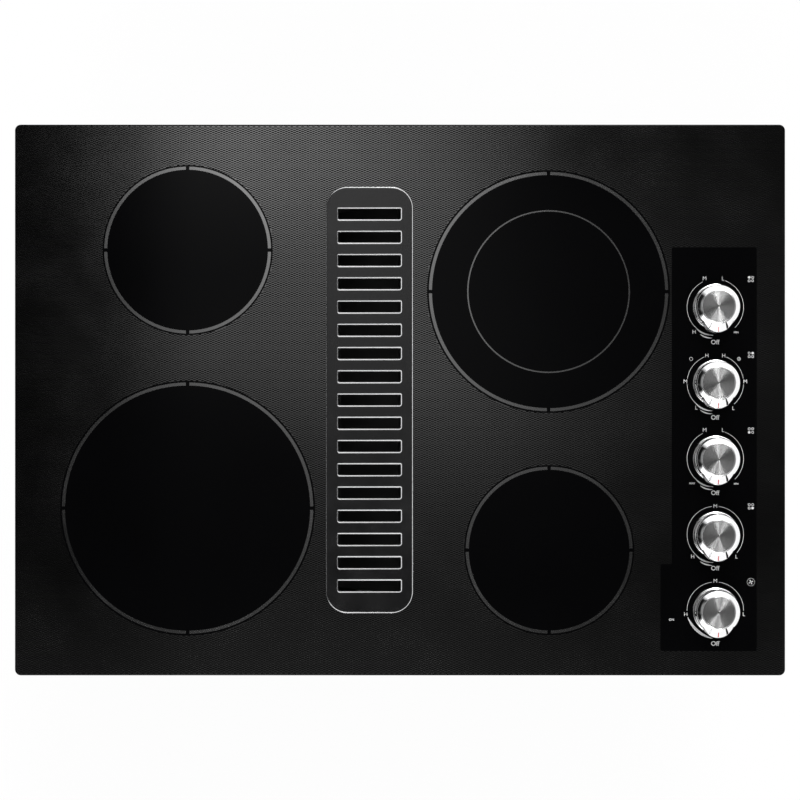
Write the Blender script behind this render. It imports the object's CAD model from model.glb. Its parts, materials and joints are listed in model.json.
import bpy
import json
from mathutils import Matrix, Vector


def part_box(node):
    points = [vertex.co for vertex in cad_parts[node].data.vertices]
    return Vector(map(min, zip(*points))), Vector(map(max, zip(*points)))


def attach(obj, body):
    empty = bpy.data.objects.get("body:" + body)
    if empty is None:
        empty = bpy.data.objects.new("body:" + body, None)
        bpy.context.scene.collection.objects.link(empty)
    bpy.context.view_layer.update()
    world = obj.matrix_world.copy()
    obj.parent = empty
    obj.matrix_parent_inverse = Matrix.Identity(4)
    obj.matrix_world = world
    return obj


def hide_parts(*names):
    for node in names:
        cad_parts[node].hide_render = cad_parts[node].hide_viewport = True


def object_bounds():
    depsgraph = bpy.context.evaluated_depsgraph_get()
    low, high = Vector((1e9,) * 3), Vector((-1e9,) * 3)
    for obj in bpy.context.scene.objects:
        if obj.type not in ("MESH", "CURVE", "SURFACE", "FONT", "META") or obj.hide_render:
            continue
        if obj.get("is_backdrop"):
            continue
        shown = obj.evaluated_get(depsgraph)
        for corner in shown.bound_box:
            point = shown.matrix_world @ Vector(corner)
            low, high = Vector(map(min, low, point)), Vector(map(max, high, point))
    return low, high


bl_info = {
    "name": "Downdraft cooktop",
    "version": (1, 0, 0),
    "blender": (4, 5, 0),
    "location": "View3D > Sidebar > Cooktop",
    "description": "Dresses the packed cooktop: glass, print, dials, knobs, grille, sheet metal and stage",
    "category": "Object",
}

import json
import math
from contextlib import contextmanager

import bmesh
import bpy
from bpy.props import FloatProperty, FloatVectorProperty, IntProperty, PointerProperty
from mathutils import Matrix, Vector

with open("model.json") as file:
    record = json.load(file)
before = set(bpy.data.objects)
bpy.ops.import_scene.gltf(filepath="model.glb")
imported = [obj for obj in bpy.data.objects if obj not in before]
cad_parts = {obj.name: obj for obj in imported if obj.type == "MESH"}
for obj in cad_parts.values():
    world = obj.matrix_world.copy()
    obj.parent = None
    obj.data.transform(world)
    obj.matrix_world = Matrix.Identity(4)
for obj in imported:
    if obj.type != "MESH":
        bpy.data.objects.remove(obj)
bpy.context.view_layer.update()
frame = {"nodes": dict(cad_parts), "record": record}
MM = 0.001
FULL_TURN = 2 * math.pi
ALONG_X, ALONG_Y, ALONG_Z = (1, 0, 0), (0, 1, 0), (0, 0, 1)
DOWN = (0, 0, -1)

# Places and sizes from the CAD

CONTROLS = ("rear_left", "rear_right", "front_left", "front_right", "fan")
GLASS_LOW, GLASS_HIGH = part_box("glass_top")
TOP_Z = GLASS_HIGH.z
GLASS_W = GLASS_HIGH.x - GLASS_LOW.x
GLASS_D = GLASS_HIGH.y - GLASS_LOW.y
GRILLE_LOW, GRILLE_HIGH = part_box("vent_grille")
VENT_X = (GRILLE_LOW.x + GRILLE_HIGH.x) / 2
KNOB_AT = {c: sum(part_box("shaft_" + c), Vector()) / 2 for c in CONTROLS}
KNOB_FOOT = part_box("knob_rear_left")[0].z

# Glass and the heights of its printed layers

GLASS_CORNER = 6 * MM
OPENING_W, OPENING_D, OPENING_CORNER = 75.5 * MM, 420 * MM, 15.5 * MM
SHAFT_HOLE = 8 * MM
GROUND_Z = TOP_Z + 0.04 * MM
LINE_Z = TOP_Z + 0.05 * MM
WORD_Z = TOP_Z + 0.06 * MM
DASH_Z = TOP_Z + 0.09 * MM

# Grille: its corners, the slots and the lips round them, and the skirt's outer and inner outline

GRILLE_CORNER = 22 * MM
SLOT_W, SLOT_D = 64 * MM, 11 * MM
FIRST_SLOT_Y = 188.7 * MM
LIP_HEIGHT = 0.6 * MM
SKIRT_OUTLINES = ((73.5 * MM, 418 * MM, 14.5 * MM), (69.5 * MM, 414 * MM, 12.5 * MM))

# Zones in the print, in mm: centre, inner radius of the ring, radius where the grey ground stops
ZONES = {
    "rear_left": (-215.9, 152.4, 81.7, 86.5),
    "front_left": (-215.9, -109.9, 124.6, 129.6),
    "rear_right": (151.0, 110.2, 118.5, 123.5),
    "front_right": (151.6, -152.6, 81.7, 86.5),
}
RING_BREAK = 1.75 * MM
INNER_RING = (81.4 * MM, 82.7 * MM)

# Dials: letters with degrees clockwise from the rear and radius in mm, arcs in such degrees, small words
# with their place in mm, the filled dot of the zone mark, and the distance of the word at the nose in mm
DIALS = {
    "rear_left": {
        "letters": [("M", -20.4, 31.3), ("L", 15.1, 30.2), ("H", -139.2, 33.0)],
        "arcs": [(-26.5, -176), (20, 136)],
        "words": [("MIN", 21.2, -25.5)],
        "zone": 0,
        "off": 35.4,
    },
    "rear_right": {
        "letters": [("H", -17, 29.2), ("H", 17, 29.2), ("M", -87, 30.5), ("M", 87, 30.5),
                    ("L", -142.6, 31.5), ("L", 144, 31.5)],
        "arcs": [(-23, -81), (23, 81), (-93, -136), (93, 138)],
        "words": [],
        "zone": 1,
        "off": 35.0,
    },
    "front_left": {
        "letters": [("M", -20.4, 31.3), ("L", 15.1, 30.2)],
        "arcs": [(-26.5, -176), (20, 136)],
        "words": [("MIN", 21.2, -25.5), ("MAX", -23.4, -25.0)],
        "zone": 2,
        "off": 34.6,
    },
    "front_right": {
        "letters": [("M", 0, 28.9), ("H", -134, 32.0), ("L", 136, 31.2)],
        "arcs": [(-7, -176), (7, 130)],
        "words": [],
        "zone": 3,
        "off": 34.2,
    },
    "fan": {
        "letters": [("M", 0, 29.9), ("H", -97.4, 30.3), ("L", 97.8, 29.4)],
        "arcs": [(-7, -91), (7, 91)],
        "words": [],
        "zone": None,
        "off": 33.8,
    },
}

# Swelling arcs of a dial: both radii in mm from the dial's own, both ends in degrees, and the steps
HEAT_SWELLS = ((2.6, 3.8, -150, -175, 40), (-0.4, 1.1, -132, -175, 40))
FAN_SWELLS = ((0.3, -2.4, -103, -175, 48),)
DIAL_LINE = 0.2 * MM
# Middle of the zone mark from the knob's axis, in mm
ZONE_MARK = (36.2, 28.6)
# Circles for one ring and two rings beside the two-ring control, in mm: across, both radii; and the steps
RING_MARKS = ((-24.5, 1.5, 1.85, 28), (24.0, 1.5, 1.85, 28), (24.0, 0.75, 1.05, 24))
RING_MARK_Y = 24.5
# Dots of the zone mark, ring of the fan mark, and the words, in metres
DOT_OFFSET, DOT_R, DOT_INNER = 1.75 * MM, 1.35 * MM, 0.85 * MM
FAN_RING = (3.75 * MM, 3.98 * MM)
LAMP_WORD_AT = (275.9 * MM, -223.2 * MM)
LETTER_HEIGHT, SMALL_HEIGHT, OFF_HEIGHT, LAMP_WORD_HEIGHT = 3.9 * MM, 1.9 * MM, 4.4 * MM, 2.3 * MM

# Knob, in mm. Hollow and seat of the cap: radius, height. Flange and wall: distance inside the outline,
# height. Edge: distance inside the outline, drop below the shoulder. The nose's angles are in radians.
KNOB_HOLLOW = ((3.05, 14), (3.05, 1), (6.5, 1), (6.5, 17.3), (20, 17.3), (20, 0))
KNOB_FLANGE = ((0.3, 0), (0, 0.3), (0, 2.5), (0.08, 2.8), (0.3, 3.0))
KNOB_WALL = ((-0.15, 3.02), (0, 3.3))
KNOB_EDGE = ((0, 1.1), (0.06, 0.55), (0.28, 0.2), (0.7, 0.02))
KNOB_SEAT = ((16.85, 24.46), (16.65, 24.5), (16.5, 24.44), (16.4, 24.3), (16.4, 23.5))
KNOB_HEIGHT = 24.5
FLANGE_R = 23.5
WALL_R = 22.0
SHOULDER_R = 17.0
FLANK_ENDS = math.radians(51)
NOSE_ENDS = math.radians(45)
NOSE_CENTRE, NOSE_R = 10.4, 15.8

# Camera over the middle of the plate
SENSOR = 36
CAMERA_HEIGHT = 2.45
FRAME_WIDTH = 800 * 1.01649 * MM


# Settings a user would change

class CooktopSizes(bpy.types.PropertyGroup):
    """Sizes of the printed and fine parts"""

    glass_bevel: FloatProperty(
        name="Glass edge", description="Width of the ground edge of the glass",
        default=0.9 * MM, min=0.2 * MM, max=2 * MM, unit="LENGTH", precision=5)
    print_inset: FloatProperty(
        name="Print inset", description="Bare strip between the glass edge and the print",
        default=1.5 * MM, min=0.5 * MM, max=10 * MM, unit="LENGTH", precision=5)
    dot_pitch: FloatProperty(
        name="Dash pitch", description="Distance between the printed dashes in a row",
        default=5.5 * MM, min=3 * MM, max=12 * MM, unit="LENGTH", precision=5)
    dot_row: FloatProperty(
        name="Row pitch", description="Distance between the rows of dashes",
        default=1.135 * MM, min=0.8 * MM, max=4 * MM, unit="LENGTH", precision=5)
    dot_length: FloatProperty(
        name="Dash length", description="Length of a printed dash",
        default=2.65 * MM, min=1 * MM, max=5 * MM, unit="LENGTH", precision=5)
    dot_width: FloatProperty(
        name="Dash width", description="Width of a printed dash",
        default=1.1 * MM, min=0.3 * MM, max=2 * MM, unit="LENGTH", precision=5)
    ring_width: FloatProperty(
        name="Ring width", description="Width of the rings round the zones",
        default=3.1 * MM, min=1 * MM, max=6 * MM, unit="LENGTH", precision=5)
    grille_bevel: FloatProperty(
        name="Grille edge", description="Width of the rounded edges of the grille",
        default=1.4 * MM, min=0.3 * MM, max=2 * MM, unit="LENGTH", precision=5)
    slot_count: IntProperty(
        name="Slots", description="Number of slots in the grille",
        default=17, min=5, max=25)
    dial_radius: FloatProperty(
        name="Dial radius", description="Radius of the printed ring round a knob",
        default=28.7 * MM, min=26 * MM, max=32 * MM, unit="LENGTH", precision=5)


class CooktopColours(bpy.types.PropertyGroup):
    """Colours of the finishes"""

    glass: FloatVectorProperty(
        name="Glass", description="Colour of the glass-ceramic", subtype="COLOR",
        size=4, min=0, max=1, default=(0.0014, 0.0014, 0.0016, 1))
    print_grey: FloatVectorProperty(
        name="Print", description="Colour of the printed ground and rings", subtype="COLOR",
        size=4, min=0, max=1, default=(0.275, 0.275, 0.275, 1))
    mark: FloatVectorProperty(
        name="Marks", description="Colour of the printed letters and dial lines", subtype="COLOR",
        size=4, min=0, max=1, default=(0.62, 0.62, 0.62, 1))
    grille: FloatVectorProperty(
        name="Grille", description="Colour of the grille's paint", subtype="COLOR",
        size=4, min=0, max=1, default=(0.003, 0.003, 0.0033, 1))
    chrome: FloatVectorProperty(
        name="Knobs", description="Colour of the knobs' plating", subtype="COLOR",
        size=4, min=0, max=1, default=(0.93, 0.93, 0.935, 1))
    pointer: FloatVectorProperty(
        name="Pointer", description="Colour of the line on the pointer nose", subtype="COLOR",
        size=4, min=0, max=1, default=(0.55, 0.01, 0.02, 1))


# Outlines

def spokes(count, start=0.0):
    """Cosine and sine at equal steps of a full turn."""
    angles = [start + FULL_TURN * k / count for k in range(count)]
    return [(math.cos(a), math.sin(a)) for a in angles]


def circle(cx, cy, r, count):
    return [(cx + r * c, cy + r * s) for c, s in spokes(count)]


def rounded(cx, cy, w, d, r, steps=8, front_r=None):
    """Outline of a rounded rectangle, counter-clockwise; its front corners may have their own radius."""
    front = r if front_r is None else front_r
    points = []
    for sx, sy, turn, r in ((1, 1, 0, r), (-1, 1, 90, r), (-1, -1, 180, front), (1, -1, 270, front)):
        for k in range(steps + 1):
            a = math.radians(turn + 90 * k / steps)
            points.append((cx + sx * (w / 2 - r) + r * math.cos(a), cy + sy * (d / 2 - r) + r * math.sin(a)))
    return points


def opening_outline(grow=0.0):
    """Vent opening in the glass."""
    return rounded(VENT_X, 0, OPENING_W + 2 * grow, OPENING_D + 2 * grow, OPENING_CORNER + grow)


def panel_outline():
    """Bare control panel in the print, with a step at its lower left and small round corners."""
    left, right, step_left = 276.2 * MM, 363.0 * MM, 264.4 * MM
    front, rear, step_rear = -255.2 * MM, 155.3 * MM, -166.9 * MM
    corner = 2 * MM
    corners = [Vector(p) for p in ((right, front), (right, rear), (left, rear), (left, step_rear),
                                   (step_left, step_rear), (step_left, front))]
    points = []
    for k, b in enumerate(corners):
        start = b + (corners[k - 1] - b).normalized() * corner
        end = b + (corners[(k + 1) % len(corners)] - b).normalized() * corner
        for j in range(5):
            t = j / 4
            p = (1 - t) ** 2 * start + 2 * t * (1 - t) * b + t ** 2 * end
            points.append((p.x, p.y))
    return points


def slot_outline(y, grow=0.0):
    """Slot of the grille with square rear corners and rounder front ones."""
    return rounded(VENT_X, y, SLOT_W + 2 * grow, SLOT_D + 2 * grow, 0.5 * MM + grow, 4, 1.6 * MM + grow)


# Meshes

class Shape:
    """Points and faces that become one piece."""

    def __init__(self):
        self.points = []
        self.faces = []

    def add(self, points, faces, place=None):
        start = len(self.points)
        self.points += [place @ Vector(p) if place else Vector(p) for p in points]
        self.faces += [[start + k for k in f] for f in faces]

    def rings(self, rings, closed=True, place=None):
        """Skin between rings of points, each ring with as many points, or one point at a pole."""
        points = []
        starts = []
        for ring in rings:
            starts.append(len(points))
            points += ring
        faces = []
        for j in range(len(rings) - 1):
            a, b = starts[j], starts[j + 1]
            n, m = len(rings[j]), len(rings[j + 1])
            count = max(n, m)
            for k in range(count if closed else count - 1):
                k2 = (k + 1) % count
                if n == 1:
                    faces.append([a, b + k2, b + k])
                elif m == 1:
                    faces.append([a + k, a + k2, b])
                else:
                    faces.append([a + k, a + k2, b + k2, b + k])
        self.add(points, faces, place)

    def lathe(self, profile, count, place=None):
        """Turned shape about Z: (radius, height) from the bottom pole or edge to the top one."""
        rings = []
        for r, z in profile:
            rings.append([(r * c, r * s, z) for c, s in spokes(count)] if r > 0 else [(0, 0, z)])
        self.rings(rings, True, place)

    def block(self, low, high, place):
        x0, y0, z0 = low
        x1, y1, z1 = high
        points = [(x0, y0, z0), (x1, y0, z0), (x1, y1, z0), (x0, y1, z0),
                  (x0, y0, z1), (x1, y0, z1), (x1, y1, z1), (x0, y1, z1)]
        faces = [(0, 3, 2, 1), (4, 5, 6, 7), (0, 1, 5, 4), (1, 2, 6, 5), (2, 3, 7, 6), (3, 0, 4, 7)]
        self.add(points, faces, place)

    def mesh(self, name, smooth_below=None):
        """Mesh of the shape; edges that turn less than the given degrees are smooth."""
        data = bpy.data.meshes.new(name)
        data.from_pydata([tuple(p) for p in self.points], [], self.faces)
        data.update()
        if smooth_below:
            smooth_by_angle(data, smooth_below)
        return data


def smooth_by_angle(data, degrees):
    data.polygons.foreach_set("use_smooth", [True] * len(data.polygons))
    data.set_sharp_from_angle(angle=math.radians(degrees))
    data.update()


def level_faces_flat(data):
    """Large level faces keep their own normal, so that thin triangles don't show in reflections."""
    for f in data.polygons:
        if abs(f.normal.z) > 0.9999:
            f.use_smooth = False
    data.update()


@contextmanager
def edited(data):
    """Lends a mesh for changes and writes them back."""
    work = bmesh.new()
    work.from_mesh(data)
    yield work
    work.to_mesh(data)
    work.free()
    data.update()


def face_up(data):
    with edited(data) as work:
        bmesh.ops.remove_doubles(work, verts=work.verts, dist=1e-7)
        work.normal_update()
        down = [f for f in work.faces if f.normal.z < 0]
        if down:
            bmesh.ops.reverse_faces(work, faces=down)


def close_up(data, distance=1e-6):
    """Merges doubles and turns a closed mesh's faces outwards."""
    with edited(data) as work:
        bmesh.ops.remove_doubles(work, verts=work.verts, dist=distance)
        bmesh.ops.dissolve_degenerate(work, edges=work.edges, dist=distance)
        bmesh.ops.recalc_face_normals(work, faces=work.faces)


def merged(meshes, name):
    """One mesh of several, which are removed."""
    work = bmesh.new()
    for m in meshes:
        work.from_mesh(m)
    data = bpy.data.meshes.new(name)
    work.to_mesh(data)
    work.free()
    for m in meshes:
        bpy.data.meshes.remove(m)
    return data


def placed(name, data):
    """New object in the scene."""
    thing = bpy.data.objects.new(name, data)
    bpy.context.scene.collection.objects.link(thing)
    return thing


def evaluated_mesh(thing, name):
    """Plain mesh of an object with its modifiers or curve shape worked out; the object is removed."""
    bpy.context.view_layer.update()
    graph = bpy.context.evaluated_depsgraph_get()
    data = bpy.data.meshes.new_from_object(thing.evaluated_get(graph))
    data.name = name
    bpy.data.objects.remove(thing)
    return data


def drawn_mesh(curve):
    """Mesh of a flat curve or a word, which is removed."""
    data = evaluated_mesh(placed(curve.name, curve), curve.name)
    bpy.data.curves.remove(curve)
    return data


def outline_mesh(name, loops, z, **settings):
    """Flat mesh of closed outlines, the inner ones being holes, with its middle at a height."""
    curve = bpy.data.curves.new(name, "CURVE")
    curve.dimensions = "2D"
    curve.fill_mode = "BOTH"
    for loop in loops:
        spline = curve.splines.new("POLY")
        spline.points.add(len(loop) - 1)
        spline.points.foreach_set("co", [v for x, y in loop for v in (x, y, 0, 1)])
        spline.use_cyclic_u = True
    for key, value in settings.items():
        setattr(curve, key, value)
    data = drawn_mesh(curve)
    data.transform(Matrix.Translation((0, 0, z)))
    return data


def plate_mesh(name, loops, low, high, bevel, steps):
    """Flat plate of closed outlines with rounded edges."""
    data = outline_mesh(name, loops, (low + high) / 2, extrude=max((high - low) / 2 - bevel, 0),
                        bevel_depth=bevel, bevel_resolution=steps, offset=-bevel)
    close_up(data)
    return data


def band(shape, x, y, r0, r1, count, a0=0.0, a1=FULL_TURN, taper=None):
    """Flat printed arc between two radii. taper(t) gives the share of its width."""
    points = []
    for k in range(count + 1):
        t = k / count
        a = a0 + (a1 - a0) * t
        outer = r0 + (r1 - r0) * (taper(t) if taper else 1)
        points += [(x + r * math.cos(a), y + r * math.sin(a), LINE_Z) for r in (r0, outer)]
    quads = [[2 * k, 2 * k + 1, 2 * k + 3, 2 * k + 2] for k in range(count)]
    shape.add(points, quads if a1 > a0 else [q[::-1] for q in quads])


def put(name, data, body, slot, looks=(), nodes=()):
    """Makes a finished piece of a mesh: at the origin, on its body, with its finishes."""
    thing = placed(name, data)
    if data.materials:
        data.materials.clear()
    for look in looks or [slot]:
        data.materials.append(finish(look))
    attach(thing, body)
    if nodes:
        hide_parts(*nodes)
    return thing


def put_mm(name, shape, body, slot):
    """Finished piece of a shape that was drawn in mm."""
    shape.points = [p * MM for p in shape.points]
    return put(name, shape.mesh(name, 35), body, slot)


def mm_box(node):
    """Corners of a CAD node's box in mm."""
    low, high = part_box(node)
    return low / MM, high / MM


def turned(centre, axis):
    """Place whose Z axis points along an axis of the part."""
    angle, about = {"X": (math.pi / 2, "Y"), "Y": (-math.pi / 2, "X"), "-Y": (math.pi / 2, "X")}[axis]
    return Matrix.Translation(centre) @ Matrix.Rotation(angle, 4, about)


def places_about(centre, radius, axis, count, start=0.0):
    """Places at equal steps round an axis through a point, each with its way outwards."""
    places = []
    for c, s in spokes(count, start):
        out = {"X": (0, c, s), "Y": (c, 0, s), "Z": (c, s, 0)}[axis]
        places.append((tuple(m + radius * o for m, o in zip(centre, out)), out))
    return places


# Nodes

class Tree:
    """Short ways to add and join the nodes of a tree."""

    def __init__(self, tree):
        self.tree = tree
        self.nodes = tree.nodes

    def link(self, a, b):
        self.tree.links.new(a, b)

    def node(self, kind, inputs=(), **settings):
        """New node; each named input gets a value or is joined to an output."""
        n = self.nodes.new(kind)
        for key, value in settings.items():
            setattr(n, key, value)
        for key, value in dict(inputs).items():
            if isinstance(value, bpy.types.NodeSocket):
                self.link(value, n.inputs[key])
            else:
                n.inputs[key].default_value = value
        return n

    def maths(self, kind, *values):
        return self.node("ShaderNodeMath", enumerate(values), operation=kind).outputs[0]

    def plus(self, a, b):
        return self.maths("ADD", a, b)

    def times(self, a, b):
        return self.maths("MULTIPLY", a, b)


class CopiesTree(Tree):
    """Geometry tree that sets copies of one piece on points and gives them their finish."""

    def __init__(self, name, **kinds):
        super().__init__(bpy.data.node_groups.new(name, "GeometryNodeTree"))
        face = self.tree.interface
        for label, kind in [("geometry", "Geometry"), *kinds.items(), ("finish", "Material")]:
            face.new_socket(self.label(label), in_out="INPUT", socket_type="NodeSocket" + kind)
        face.new_socket("Geometry", in_out="OUTPUT", socket_type="NodeSocketGeometry")
        self.group = self.node("NodeGroupInput")

    def label(self, name):
        """Socket name that a user reads."""
        return name.replace("_", " ").capitalize()

    def given(self, name):
        return self.group.outputs[self.label(name)]

    def copies(self, inputs):
        """Ends the tree with the copies made real."""
        each = self.node("GeometryNodeInstanceOnPoints", inputs)
        real = self.node("GeometryNodeRealizeInstances", {0: each.outputs[0]})
        colour = self.node("GeometryNodeSetMaterial",
                           {"Geometry": real.outputs[0], "Material": self.given("finish")})
        self.node("NodeGroupOutput", {0: colour.outputs[0]})
        return self.tree


def dash_tree():
    """Rows of dashes, every other row shifted by half a pitch, kept where they lie over the ground sheet."""
    t = CopiesTree("Dashes", field_width="Float", field_depth="Float", dash_pitch="Float", row_pitch="Float",
                   dash_length="Float", dash_width="Float", height="Float", columns="Int", rows="Int")
    grid = t.node("GeometryNodeMeshGrid",
                  {"Size X": t.given("field_width"), "Size Y": t.given("field_depth"),
                   "Vertices X": t.given("columns"), "Vertices Y": t.given("rows")})
    here = t.node("GeometryNodeInputPosition").outputs[0]
    part = t.node("ShaderNodeSeparateXYZ", {0: here})
    row = t.maths("FLOOR", t.plus(t.maths("DIVIDE", part.outputs["Y"], t.given("row_pitch")), 0.25))
    odd = t.maths("ABSOLUTE", t.maths("MODULO", row, 2))
    shift = t.times(odd, t.times(t.given("dash_pitch"), 0.5))
    offset = t.node("ShaderNodeCombineXYZ", {"X": shift, "Z": t.given("height")})
    moved = t.node("GeometryNodeSetPosition",
                   {"Geometry": grid.outputs["Mesh"], "Offset": offset.outputs[0]})
    ray = t.node("GeometryNodeRaycast",
                 {"Target Geometry": t.given("geometry"), "Source Position": here,
                  "Ray Direction": DOWN, "Ray Length": 10 * MM})
    dash = t.node("GeometryNodeMeshGrid",
                  {"Vertices X": 2, "Vertices Y": 2,
                   "Size X": t.given("dash_length"), "Size Y": t.given("dash_width")})
    return t.copies({"Points": moved.outputs[0], "Selection": ray.outputs["Is Hit"],
                     "Instance": dash.outputs["Mesh"]})


def repeat_tree():
    """A small piece set on every point, turned to the point's axis and side."""
    t = CopiesTree("Repeat", piece="Object", size="Float")
    turn = {}
    for name, axis, pivot in (("axis", "Z", "AUTO"), ("side", "X", "Z")):
        way = t.node("GeometryNodeInputNamedAttribute", {"Name": name}, data_type="FLOAT_VECTOR")
        step = t.node("FunctionNodeAlignRotationToVector", {"Vector": way.outputs["Attribute"], **turn},
                      axis=axis, pivot_axis=pivot)
        turn = {"Rotation": step.outputs["Rotation"]}
    piece = t.node("GeometryNodeObjectInfo", {"Object": t.given("piece")})
    return t.copies({"Points": t.given("geometry"), "Instance": piece.outputs["Geometry"],
                     "Scale": t.given("size"), **turn})


def run_tree(name, tree, base, values):
    """Plain mesh that a geometry tree makes on a base mesh with the given inputs."""
    thing = placed(name, base)
    step = thing.modifiers.new("Nodes", "NODES")
    step.node_group = tree
    for item in tree.interface.items_tree:
        if item.in_out == "INPUT" and item.name in values:
            step[item.identifier] = values[item.name]
    return evaluated_mesh(thing, name)


def repeated(name, places, template, slot, body="cooktop", look=None, smooth_below=35):
    """Finished piece: a template shape in mm repeated at (place, axis, side) triples, places in mm."""
    base = bpy.data.meshes.new(name + "_points")
    base.from_pydata([tuple(Vector(p) * MM) for p, axis, side in places], [], [])
    for key, k in (("axis", 1), ("side", 2)):
        layer = base.attributes.new(key, "FLOAT_VECTOR", "POINT")
        layer.data.foreach_set("vector", [v for place in places for v in Vector(place[k])])
    small = template.mesh(name + "_template")
    small.transform(Matrix.Scale(MM, 4))
    smooth_by_angle(small, smooth_below)
    pattern = placed(name + "_template", small)
    tree = bpy.data.node_groups.get("Repeat") or repeat_tree()
    look = look or slot
    data = run_tree(name, tree, base, {"Piece": pattern, "Size": 1.0, "Finish": finish(look)})
    bpy.data.objects.remove(pattern)
    return put(name, data, body, slot, [look])


# Finishes

class Finish(Tree):
    """A material with short ways to build its patterns."""

    def __init__(self, name):
        self.material = bpy.data.materials.new(name)
        self.material.use_nodes = True
        super().__init__(self.material.node_tree)
        self.shader = self.nodes["Principled BSDF"]
        self.here = self.node("ShaderNodeTexCoord").outputs["Object"]

    def stretched(self, scale):
        """Object coordinates, scaled along each axis."""
        return self.node("ShaderNodeMapping", {"Vector": self.here, "Scale": scale}).outputs["Vector"]

    def noise(self, scale, detail, vector=None, rough=0.55):
        vector = self.here if vector is None else vector
        inputs = {"Vector": vector, "Scale": scale, "Detail": detail, "Roughness": rough}
        return self.node("ShaderNodeTexNoise", inputs).outputs["Fac"]

    def ranged(self, value, low, high, from_low=0.0, from_high=1.0):
        inputs = {"Value": value, "From Min": from_low, "From Max": from_high, "To Min": low, "To Max": high}
        return self.node("ShaderNodeMapRange", inputs).outputs["Result"]

    def middling(self, value, low, high):
        """Range over the values that a soft noise mostly has."""
        return self.ranged(value, low, high, 0.3, 0.7)

    def blend(self, value, colour_a, colour_b):
        return self.node("ShaderNodeMix", {0: value, 6: colour_a, 7: colour_b}, data_type="RGBA").outputs[2]

    def tint(self, colour, value, low, high):
        """Colour made darker or lighter by a pattern."""
        dark, light = ([min(c * share, 1) for c in colour[:3]] + [1] for share in (low, high))
        return self.blend(value, dark, light)

    def bump(self, height, strength, distance):
        inputs = {"Height": height, "Strength": strength, "Distance": distance}
        return self.node("ShaderNodeBump", inputs).outputs["Normal"]

    def done(self, colour, rough=None, normal=None, **values):
        """Joins the patterns to the shader, sets its plain values and gives the material."""
        for key, pattern in (("Base Color", colour), ("Roughness", rough), ("Normal", normal)):
            if pattern is not None:
                self.link(pattern, self.shader.inputs[key])
        for key, value in values.items():
            self.shader.inputs[key.replace("_", " ")].default_value = value
        return self.material


def grey(v):
    return (v, v, v, 1)


def glass_finish(name, colour):
    f = Finish(name)
    smear = f.noise(9, 3)
    dust = f.noise(900, 2)
    return f.done(f.tint(colour, smear, 0.8, 1.2), f.middling(smear, 0.025, 0.06),
                  f.bump(dust, 0.02, 0.00002), IOR=1.22)


def print_finish(name, colour, rough=0.09):
    """Grey ceramic print with fine mica in it."""
    f = Finish(name)
    mica = f.noise(2600, 2)
    cloud = f.noise(14, 3)
    return f.done(f.tint(colour, mica, 0.78, 1.22), f.middling(cloud, rough - 0.02, rough + 0.03),
                  f.bump(mica, 0.05, 0.00003), Metallic=1.0)


def enamel_finish(name, colour, rough=0.45, ior=1.3):
    """Fired print without mica, for letters and dashes."""
    f = Finish(name)
    grain = f.noise(1800, 2)
    return f.done(f.tint(colour, grain, 0.9, 1.08), f.ranged(grain, rough - 0.04, rough + 0.05), IOR=ior)


def sheet_finish(name, colour, rough, spangle, scale):
    """Zinc or aluminium coated sheet: grown crystals, rolling lines and dull spots."""
    f = Finish(name)
    cell = f.node("ShaderNodeTexVoronoi", {"Vector": f.stretched((1, 1, 1.4)), "Scale": scale})
    pick = f.node("ShaderNodeSeparateColor", {"Color": cell.outputs["Color"]})
    cloud = f.noise(7, 5)
    fine = f.noise(320, 3, f.stretched((1, 12, 1)))
    mix = f.node("ShaderNodeMix", {0: spangle, 2: cloud, 3: pick.outputs[0]}, data_type="FLOAT")
    crystal = mix.outputs[0]
    return f.done(f.tint(colour, crystal, 0.78, 1.18), f.ranged(crystal, rough - 0.08, rough + 0.1),
                  f.bump(fine, 0.06, 0.00006), Metallic=1.0)


def metal_finish(name, colour, rough, lines=(1, 1, 40), line_scale=60):
    """Drawn or turned metal with fine lines along one way."""
    f = Finish(name)
    line = f.noise(line_scale, 4, f.stretched(lines))
    cloud = f.noise(22, 3)
    return f.done(f.tint(colour, line, 0.86, 1.12), f.middling(cloud, rough - 0.06, rough + 0.08),
                  f.bump(line, 0.05, 0.00004), Metallic=1.0)


def moulded_finish(name, colour, rough, grain=900, depth=0.12, coat=0.0):
    """Moulded plastic, rubber or ceramic with a fine grain."""
    f = Finish(name)
    pebble = f.noise(grain, 2)
    cloud = f.noise(18, 3)
    return f.done(f.tint(colour, cloud, 0.9, 1.1), f.middling(cloud, rough - 0.05, rough + 0.07),
                  f.bump(pebble, depth, 0.00008), Coat_Weight=coat)


def paint_finish(name, colour, rough, peel=260, depth=0.1, ior=1.5):
    """Stoved paint with a slight orange peel and paler worn patches."""
    f = Finish(name)
    skin = f.noise(peel, 2)
    wear = f.noise(30, 5)
    return f.done(f.tint(colour, wear, 0.85, 1.25), f.middling(wear, rough - 0.05, rough + 0.06),
                  f.bump(skin, depth, 0.00008), IOR=ior)


def chrome_finish(name, colour):
    f = Finish(name)
    haze = f.noise(40, 4)
    return f.done(f.tint(colour, haze, 0.95, 1.04), f.middling(haze, 0.07, 0.14),
                  f.bump(f.noise(420, 2), 0.02, 0.00001), Metallic=1.0)


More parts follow.
